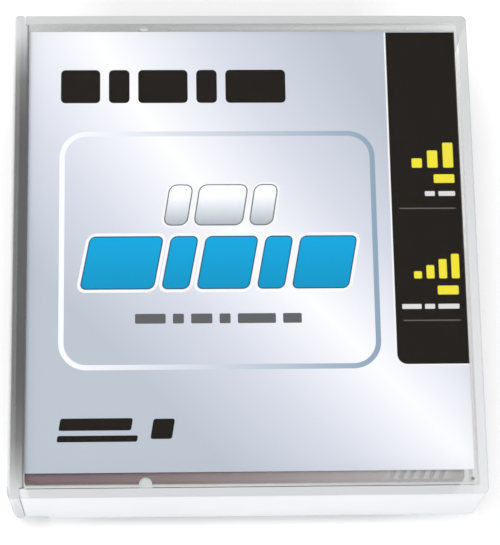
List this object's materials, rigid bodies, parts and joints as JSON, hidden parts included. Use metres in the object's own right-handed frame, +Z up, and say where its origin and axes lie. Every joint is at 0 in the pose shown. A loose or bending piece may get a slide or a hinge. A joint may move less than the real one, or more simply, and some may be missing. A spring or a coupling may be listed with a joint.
{
  "type": "data tape cartridge in its library case",
  "caption": "Half-inch data tape cartridge with reel, brake, leader pin and sliding door, stored in a clear hinged library case behind a printed folded insert card.",
  "frame": {"origin": "bottom centre of the closed library case", "axes": "+X to the right with the case's spine on the left, +Y towards the end that goes into a drive first, +Z up"},
  "size_m": [0.111, 0.1194, 0.026],
  "materials": {
    "clear_case": "milky clear polypropylene, moulded",
    "clear_cover": "clear polished plate with a milky rim",
    "printed_card": "coated card, printed in silver, steel blue and black",
    "shell_plastic": "burgundy polycarbonate, fine spark-eroded texture",
    "reel_plastic": "natural glass-filled plastic",
    "spring_steel": "stamped magnetic steel",
    "tape_film": "wound magnetic tape, slightly glossy edge",
    "brake_plastic": "dark grey acetal",
    "release_plastic": "white acetal",
    "pin_steel": "turned and polished steel",
    "door_plastic": "dark burgundy plastic",
    "tab_plastic": "orange red plastic",
    "chip_board": "epoxy board with a potted chip",
    "screw_steel": "zinc plated steel"
  },
  "bodies": {
    "case_and_shell": {"case_base": "clear_case", "lower_shell": "shell_plastic", "upper_shell": "shell_plastic", "shell_screws": "screw_steel", "leader_pin": "pin_steel", "pin_clamp": "brake_plastic", "leader_tape": "tape_film", "leader_pin_spring": "spring_steel", "memory_chip": "chip_board", "door_spring": "spring_steel", "brake_spring": "spring_steel"},
    "cover": {"case_cover": "clear_cover", "insert_card": "printed_card"},
    "reel": {"reel_hub": "reel_plastic", "reel_upper_flange": "reel_plastic", "drive_plate": "spring_steel", "tape_pack": "tape_film"},
    "brake": {"brake_button": "brake_plastic"},
    "release": {"release_plate": "release_plastic"},
    "leader_door": {"access_door": "door_plastic"},
    "write_protect": {"write_protect_tab": "tab_plastic"}
  },
  "joints": [
    {"name": "cover_hinge", "type": "hinge", "parent": "case_and_shell", "child": "cover", "pos_m": [-0.0509, 0, 0.0052], "axis": [0, -1, 0], "range_deg": [0, 90]},
    {"name": "reel_spin", "type": "hinge", "parent": "case_and_shell", "child": "reel", "pos_m": [-0.0007, -0.005, 0], "axis": [0, 0, 1], "continuous": true},
    {"name": "brake_lift", "type": "slide", "parent": "case_and_shell", "child": "brake", "axis": [0, 0, 1], "range_m": [-0.00145, 0.0003], "stiffness_N_per_m": 400, "springref_m": -0.004, "deforming": ["brake_spring"]},
    {"name": "release_push", "type": "slide", "parent": "reel", "child": "release", "axis": [0, 0, 1], "range_m": [-0.00145, 0.0003]},
    {"name": "door_slide", "type": "slide", "parent": "case_and_shell", "child": "leader_door", "axis": [0, -1, 0], "range_m": [0, 0.012], "stiffness_N_per_m": 20, "springref_m": -0.006, "deforming": ["door_spring"]},
    {"name": "write_protect_slide", "type": "slide", "parent": "case_and_shell", "child": "write_protect", "axis": [1, 0, 0], "range_m": [0, 0.005]}
  ],
  "couplings": [
    {"joint": "release_push", "follows": "brake_lift", "ratio": 1}
  ]
}
